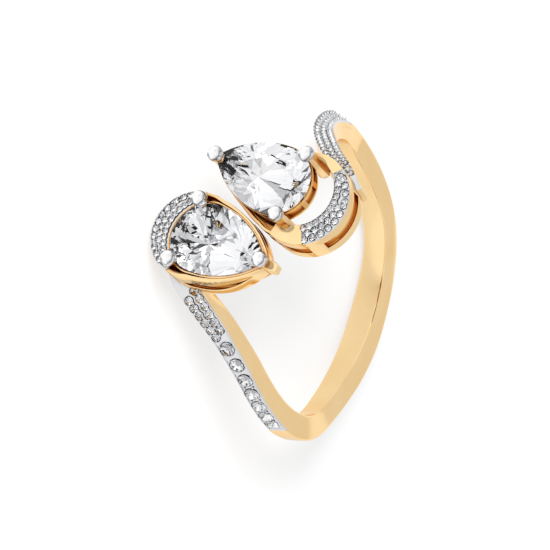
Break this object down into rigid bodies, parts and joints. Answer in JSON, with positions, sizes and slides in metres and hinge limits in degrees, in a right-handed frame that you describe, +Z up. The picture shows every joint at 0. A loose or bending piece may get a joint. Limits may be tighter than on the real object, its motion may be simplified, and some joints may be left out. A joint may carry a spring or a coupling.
{
  "type": "toi et moi ring",
  "caption": "Bypass ring with pear stones set head to tail, a stone-set halo round one, an open stone-set loop beside the other, and small stones along the arms.",
  "frame": {"origin": "the middle of the finger hole, on its axis", "axes": "+Z up with the ring lying on its side, +Y from the stones towards the bottom of the band, +X towards the halo's side; the finger hole's axis leans a little from +Z because the stones' side is the deeper one"},
  "size_m": [0.0202, 0.0235, 0.0117],
  "materials": {
    "gold": "polished yellow gold, with white rhodium on the beads and under the small stones",
    "pear_stone": "colourless, faceted and polished",
    "small_stones": "colourless, faceted and polished"
  },
  "bodies": {
    "root": {"ring_frame": "gold", "left_pear": "pear_stone", "right_pear": "pear_stone", "arm_pave": "small_stones", "halo_pave": "small_stones", "ribbon_pave": "small_stones", "loop_pave": "small_stones"}
  },
  "joints": []
}
